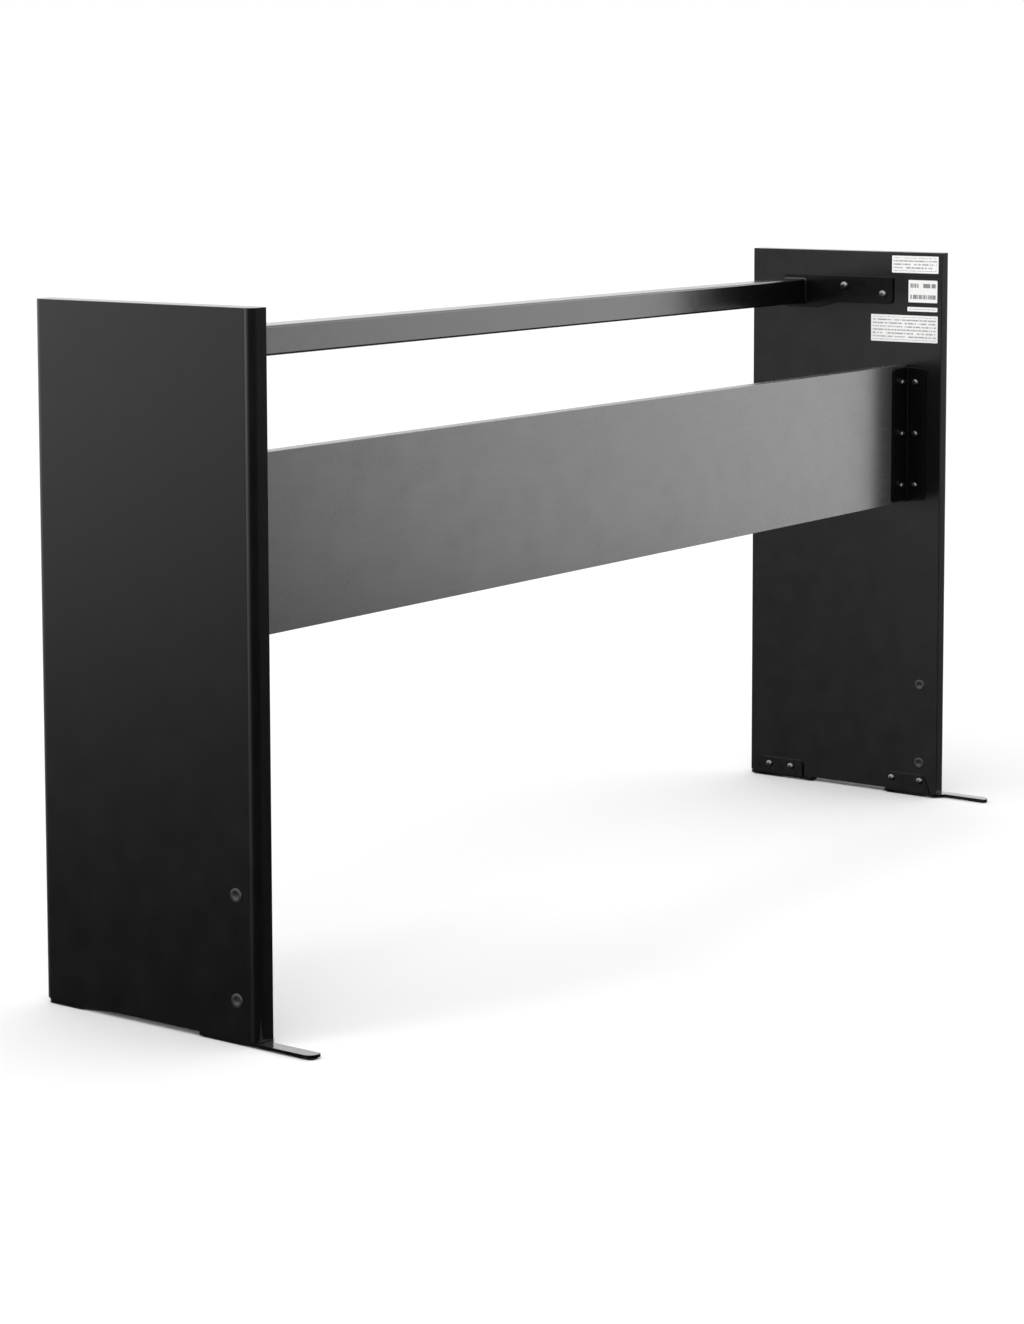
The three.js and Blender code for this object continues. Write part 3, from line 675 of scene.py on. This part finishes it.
def foot(outline, node, upstand):
    low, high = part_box(node)
    start, length, flare = upstand
    start += low.y
    wall = [
        (start, low.z, 0),
        (start + length + flare, low.z, 0),
        (start + length, high.z, UPSTAND_RADIUS),
        (start, high.z, UPSTAND_RADIUS),
    ]
    base = plate(outline, "Z", low.z, low.z + FOOT_STEEL)
    bm = combine(base, plate(wall, "X", low.x, low.x + FOOT_STEEL), "UNION")
    bend = [e for e in bm.edges
            if all(v.co.x < low.x + BEND_REACH and v.co.z < low.z + BEND_REACH for v in e.verts)]
    bmesh.ops.bevel(bm, geom=bend, affect="EDGES", offset=FOOT_BEND, segments=5, profile=0.5, material=-1)
    soften(bm, SHEET_EDGE)
    screws = [n for n in FOOT_SCREWS if n.startswith(node.split("_")[0])]
    return bore(bm, SCREW_HOLE_RADIUS, on_inner_face(screws), (-1, 0, 0), DRILL_LEAD, SCREW_DRILL_DEPTH)


def front_foot():
    low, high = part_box("front_foot_right")
    outline = [
        (low.x, low.y, MM),
        (high.x, low.y, PANEL_OUTER_RADIUS),
        (high.x, low.y + FRONT_STRAIGHT, FRONT_STRAIGHT / 2),
        (low.x + FRONT_TIP_WIDTH, high.y, UPSTAND_RADIUS),
        (low.x, high.y, UPSTAND_RADIUS),
    ]
    return foot(outline, "front_foot_right", FRONT_UPSTAND)


def rear_foot():
    low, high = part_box("rear_foot_right")
    neck = panel_high.y - REAR_NECK[0]
    outline = [
        (low.x, low.y, FOOT_CORNER),
        (high.x, low.y, FOOT_CORNER),
        (high.x, high.y, REAR_TIP_RADIUS),
        (high.x - REAR_BAR_WIDTH, high.y, FOOT_CORNER),
        (high.x - REAR_BAR_WIDTH, neck + REAR_NECK[1], FOOT_CORNER),
        (low.x, neck, FOOT_CORNER),
    ]
    return foot(outline, "rear_foot_right", REAR_UPSTAND)


finished_pair("front_foot", front_foot, steel_coat)
finished_pair("rear_foot", rear_foot, steel_coat)

# %% [markdown]
# ## Pads
# Thin rubber pads keep the steel off the floor. Each is a rounded plate with a soft edge.

# %% Pads
PAD_RADIUS = 4 * MM


def pad(node):
    low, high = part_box(node)
    corners = ((low.x, low.y), (high.x, low.y), (high.x, high.y), (low.x, high.y))
    outline = [(x, y, PAD_RADIUS) for x, y in corners]
    return soften(plate(outline, "Z", low.z, high.z), PLATE_EDGE, 3)


for name in ("front_foot_pad", "rear_foot_pad", "rear_tip_pad"):
    finished_pair(name, lambda: pad(name + "_right"), pad_rubber)

# %% [markdown]
# ## Screws and bolts
# All have pan heads with a cross recess. A head is spun from its profile, and the recess is cut by two
# narrow wedges. The shank has a spun thread of rings, which is hidden in the wood.

# %% Screws and bolts
THREAD_DEPTH = 0.3 * MM
THREAD_PITCH = 1.4 * MM
SCREW = (1.9 * MM, 4.2 * MM, 2.4 * MM)  # shank radius, head radius, head height
BOLT = (2.4 * MM, 5 * MM, 3 * MM)
POINT_RADIUS = 0.5  # of the shank's radius, as are the next two
THREAD_START = 1.5
THREAD_END = 0.3
HEAD_UNDERCUT = 0.97  # of the head's radius
HEAD_LIP = 0.08  # of the head's height
HEAD_EDGE = 0.3  # of the head's height, where the dome begins
HEAD_FLATNESS = 0.62  # power that flattens the dome
CROSS_LENGTH, CROSS_WIDTH = 1.05, 0.26  # of the head's radius
CROSS_HEIGHT, CROSS_SEAT = 1.5, 1.05  # of the head's height
CROSS_TAPER = (0.35, 0.6, 1)
FITTED_TURN = 37  # degrees from one screw's turn to the next


def fastener(shank, head, height, reach):
    """A screw about Z, with its head's underside at height 0."""
    profile = [(0, -reach), (shank * POINT_RADIUS, -reach + shank)]
    rings = int((reach - shank * 2) / THREAD_PITCH)
    for i in range(rings):
        start = -reach + shank * THREAD_START + i * THREAD_PITCH
        profile += [(shank - THREAD_DEPTH, start), (shank, start + THREAD_PITCH / 2)]
    profile += [(shank - THREAD_DEPTH, -shank * THREAD_END), (shank, 0)]
    profile += [(head * HEAD_UNDERCUT, 0), (head, height * HEAD_LIP)]
    for turn in range(0, 91, 10):
        across, up = math.cos(math.radians(turn)), math.sin(math.radians(turn))
        radius = head * across ** HEAD_FLATNESS if turn < 90 else 0
        profile.append((radius, height * (HEAD_EDGE + (1 - HEAD_EDGE) * up)))
    bm = spun(profile, 36)
    for turn in (0, math.pi / 2):
        wedge = bmesh.new()
        bmesh.ops.create_cube(wedge, size=1)
        size = (head * CROSS_LENGTH, head * CROSS_WIDTH, height * CROSS_HEIGHT)
        bmesh.ops.scale(wedge, vec=size, verts=wedge.verts[:])
        foot_of_wedge = [v for v in wedge.verts if v.co.z < 0]
        bmesh.ops.scale(wedge, vec=CROSS_TAPER, verts=foot_of_wedge)
        bmesh.ops.rotate(wedge, cent=(0, 0, 0), matrix=Matrix.Rotation(turn, 3, "Z"), verts=wedge.verts[:])
        bmesh.ops.translate(wedge, vec=(0, 0, height * CROSS_SEAT), verts=wedge.verts[:])
        bm = combine(bm, wedge)
    return bm


def place_fasteners(nodes, towards, radius_of_shank, radius_of_head, height, turn):
    """One screw is made, and each node gets a copy, turned a little differently as a fitter leaves it."""
    low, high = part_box(nodes[0])
    axis = max(range(3), key=lambda i: abs(towards[i]))
    reach = (high - low)[axis] - height
    master = fastener(radius_of_shank, radius_of_head, height, reach)
    for i, node in enumerate(nodes):
        low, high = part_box(node)
        way = Vector(towards)
        if axis == 0:
            way = Vector((1 if high.x < 0 else -1, 0, 0))
        seat = (low + high) / 2
        seat[axis] = (high[axis] if way[axis] > 0 else low[axis]) - way[axis] * height
        bm = master.copy()
        fitted = Matrix.Rotation(math.radians(turn + FITTED_TURN * i), 3, "Z")
        bmesh.ops.rotate(bm, cent=(0, 0, 0), matrix=fitted, verts=bm.verts[:])
        finished(node, aimed(bm, seat, way), screw_nickel)
    master.free()
    print(len(nodes), "fasteners like", nodes[0])


def both(names):
    return [f"{name}_{word}" for name in names for word, sign in BOTH_SIDES]


panel_screws = both(n.removesuffix("_right") for n in BRACKET_SCREWS + FOOT_SCREWS)
place_fasteners(panel_screws, (-1, 0, 0), *SCREW, 15)
place_fasteners(BOARD_SCREWS, (0, 1, 0), *SCREW, 50)
place_fasteners(both(["crossbar_bolt_front", "crossbar_bolt_rear"]), (-1, 0, 0), *BOLT, 30)

# %% [markdown]
# ## Caps
# Moulded plastic plugs close the bolt holes low on the panels: a flange with a rounded rim, a raised
# ring, and a dimple in the middle. The stem is pressed into the hole.

# %% Caps
CAP_PROFILE = [  # radius and height in millimetres, from the stem's end over the rim to the dimple
    (0, -7), (3.6, -7), (4.2, -6.2), (4.2, 0), (6.8, 0), (6.8, 0.35), (6.62, 0.72), (6.2, 1.0), (5.6, 1.15),
    (4.8, 1.2), (4.0, 1.15), (3.3, 1.0), (2.75, 0.85), (2.4, 0.7), (2.15, 0.5), (1.7, 0.42), (0, 0.4),
]


def cap(node):
    low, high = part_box(node)
    outward = 1 if node.startswith("outer") else -1
    face = panel_high.x if outward > 0 else panel_low.x
    bm = spun([(radius * MM, height * MM) for radius, height in CAP_PROFILE], 48)
    return aimed(bm, Vector((face, middle(node).y, middle(node).z)), (outward, 0, 0))


for name in ("outer_hole_cap_lower", "outer_hole_cap_upper", "inner_hole_cap_lower", "inner_hole_cap_upper"):
    finished_pair(name, lambda: cap(name + "_right"), cap_plastic)

# %% [markdown]
# ## Labels
# Four white paper labels on one panel's inner face. Real ones are printed, and here the print is
# replaced by plain grey rules with ragged ends, made by patterns in the shader.

# %% Labels
LABEL_RADIUS = 0.8 * MM
PAPER_WHITE = (0.80, 0.80, 0.79)
PRINT_MARGIN = 2.2 * MM
ROW_SHIFT = 7.3  # moves each row to another place in the noise, so that no two rows match
INKED_ABOVE = 0.44  # noise over this is ink


class Print(Finish):
    """Paper with rows of short grey rules."""

    def __init__(self, name, node, rows, ink, fill, dash):
        super().__init__(name, PAPER_WHITE, 0.55)
        low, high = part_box(node)
        self.relief(self.cloud(1600, 4), 0.00003, 0.3)
        across = self.nodes.new("ShaderNodeSeparateXYZ")
        self.link(self.place, across.inputs[0])
        y, z = across.outputs["Y"], across.outputs["Z"]
        size_y, size_z = high.y - low.y, high.z - low.z
        u = self.sum("MULTIPLY_ADD", y, 1 / size_y, -low.y / size_y)
        v = self.sum("MULTIPLY_ADD", z, 1 / size_z, -low.z / size_z)
        margin_y, margin_z = PRINT_MARGIN / size_y, PRINT_MARGIN / size_z
        inside_y = self.within(u, margin_y, 1 - margin_y)
        inside_z = self.within(v, margin_z, 1 - margin_z)
        inside = self.sum("MULTIPLY", inside_y, inside_z)
        row = self.sum("FRACT", self.sum("MULTIPLY", v, rows))
        lines = self.within(row, 0.5 - fill / 2, 0.5 + fill / 2)
        stripe = self.sum("FLOOR", self.sum("MULTIPLY", v, rows))
        where = self.nodes.new("ShaderNodeCombineXYZ")
        self.link(self.sum("MULTIPLY", y, dash), where.inputs["X"])
        self.link(self.sum("MULTIPLY", stripe, ROW_SHIFT), where.inputs["Y"])
        words = self.sum("GREATER_THAN", self.cloud(1, 0, where.outputs[0]), INKED_ABOVE)
        printed = self.sum("MULTIPLY", self.sum("MULTIPLY", lines, words), inside)
        mix = self.nodes.new("ShaderNodeMix")
        mix.data_type = "RGBA"
        self.link(printed, mix.inputs["Factor"])
        mix.inputs["A"].default_value = (*PAPER_WHITE, 1)
        mix.inputs["B"].default_value = (*[ink] * 3, 1)
        self.link(mix.outputs["Result"], self.shader.inputs["Base Color"])

    def sum(self, operation, *values):
        node = self.nodes.new("ShaderNodeMath")
        node.operation = operation
        for socket, value in zip(node.inputs, values):
            if isinstance(value, (int, float)):
                socket.default_value = value
            else:
                self.link(value, socket)
        return node.outputs[0]

    def within(self, value, start, end):
        return self.sum("MULTIPLY", self.sum("GREATER_THAN", value, start), self.sum("LESS_THAN", value, end))


def label(node):
    low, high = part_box(node)
    corners = ((low.y, low.z), (high.y, low.z), (high.y, high.z), (low.y, high.z))
    return plate([(y, z, LABEL_RADIUS) for y, z in corners], "X", low.x, high.x, 3)


LABELS = [  # name, rows of print, ink, share of a row that is inked, dashes a metre
    ("label_top", 5, 0.30, 0.42, 700),
    ("label_square", 2, 0.22, 0.38, 480),
    ("label_strip", 1, 0.35, 0.25, 900),
    ("label_wide", 8, 0.32, 0.42, 650),
]
for name, rows, ink, share, dash in LABELS:
    paper = Print(name + "_paper", name, rows, ink, share, dash)
    finished(name, label(name), paper)
print(len(LABELS), "labels")

# %% [markdown]
# ## Threaded inserts
# Brass-like zinc plated inserts sit in the panels, out of sight. The frame's own solids have the right
# shape, so they stay and only get their metal.

# %% Threaded inserts
for node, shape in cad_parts.items():
    if node.startswith("threaded_insert"):
        shape.data.materials.clear()
        shape.data.materials.append(insert_zinc.material)
        print(node, "keeps its shape")

# %% [markdown]
# ## Softbox for the board
# A large softbox stands low behind the far panel, and its reflection makes the board and the crossbar
# lighter than the panels. It is flagged off everything else by light linking.

# %% Softbox for the board
BOX_WIDTH, BOX_HEIGHT = 2.7, 2.4
BOX_BRIGHTNESS = 3.0
BOX_HEADING = Vector((-0.86, 0.43, 0.12)).normalized()
BOX_DISTANCE = 3.6

lit = bpy.data.collections.new("lit by the softbox")
lit.objects.link(board)
lit.objects.link(tube)
softbox_data = bpy.data.lights.new("softbox", "AREA")
softbox_data.shape = "RECTANGLE"
softbox_data.size, softbox_data.size_y = BOX_WIDTH, BOX_HEIGHT
softbox_data.energy = BOX_BRIGHTNESS * math.pi * BOX_WIDTH * BOX_HEIGHT
softbox = bpy.data.objects.new("softbox", softbox_data)
aim = middle("back_board")
softbox.location = aim + BOX_HEADING * BOX_DISTANCE
softbox.rotation_euler = BOX_HEADING.to_track_quat("Z", "Y").to_euler()
bpy.context.scene.collection.objects.link(softbox)
softbox.visible_camera = False
softbox.light_linking.receiver_collection = lit
print("softbox at", [round(c, 2) for c in softbox.location])

# %% [markdown]
# ## Sparkle lights
# Two small bright lights give the screw heads their points of light.

# %% Sparkle lights
SPARKLE_AIM = Vector((-0.6, 0, 0.4))

for name, place, size, brightness in (
    ("high light", (2.2, -0.6, 2.6), 0.5, 14.0),
    ("low light", (2.6, 2.4, 1.6), 0.35, 10.0),
):
    data = bpy.data.lights.new(name, "AREA")
    data.size = size
    data.energy = brightness * math.pi * size * size
    lamp = bpy.data.objects.new(name, data)
    lamp.location = place
    lamp.rotation_euler = (Vector(place) - SPARKLE_AIM).to_track_quat("Z", "Y").to_euler()
    bpy.context.scene.collection.objects.link(lamp)
    lamp.visible_camera = False
    print(name, "at", place)
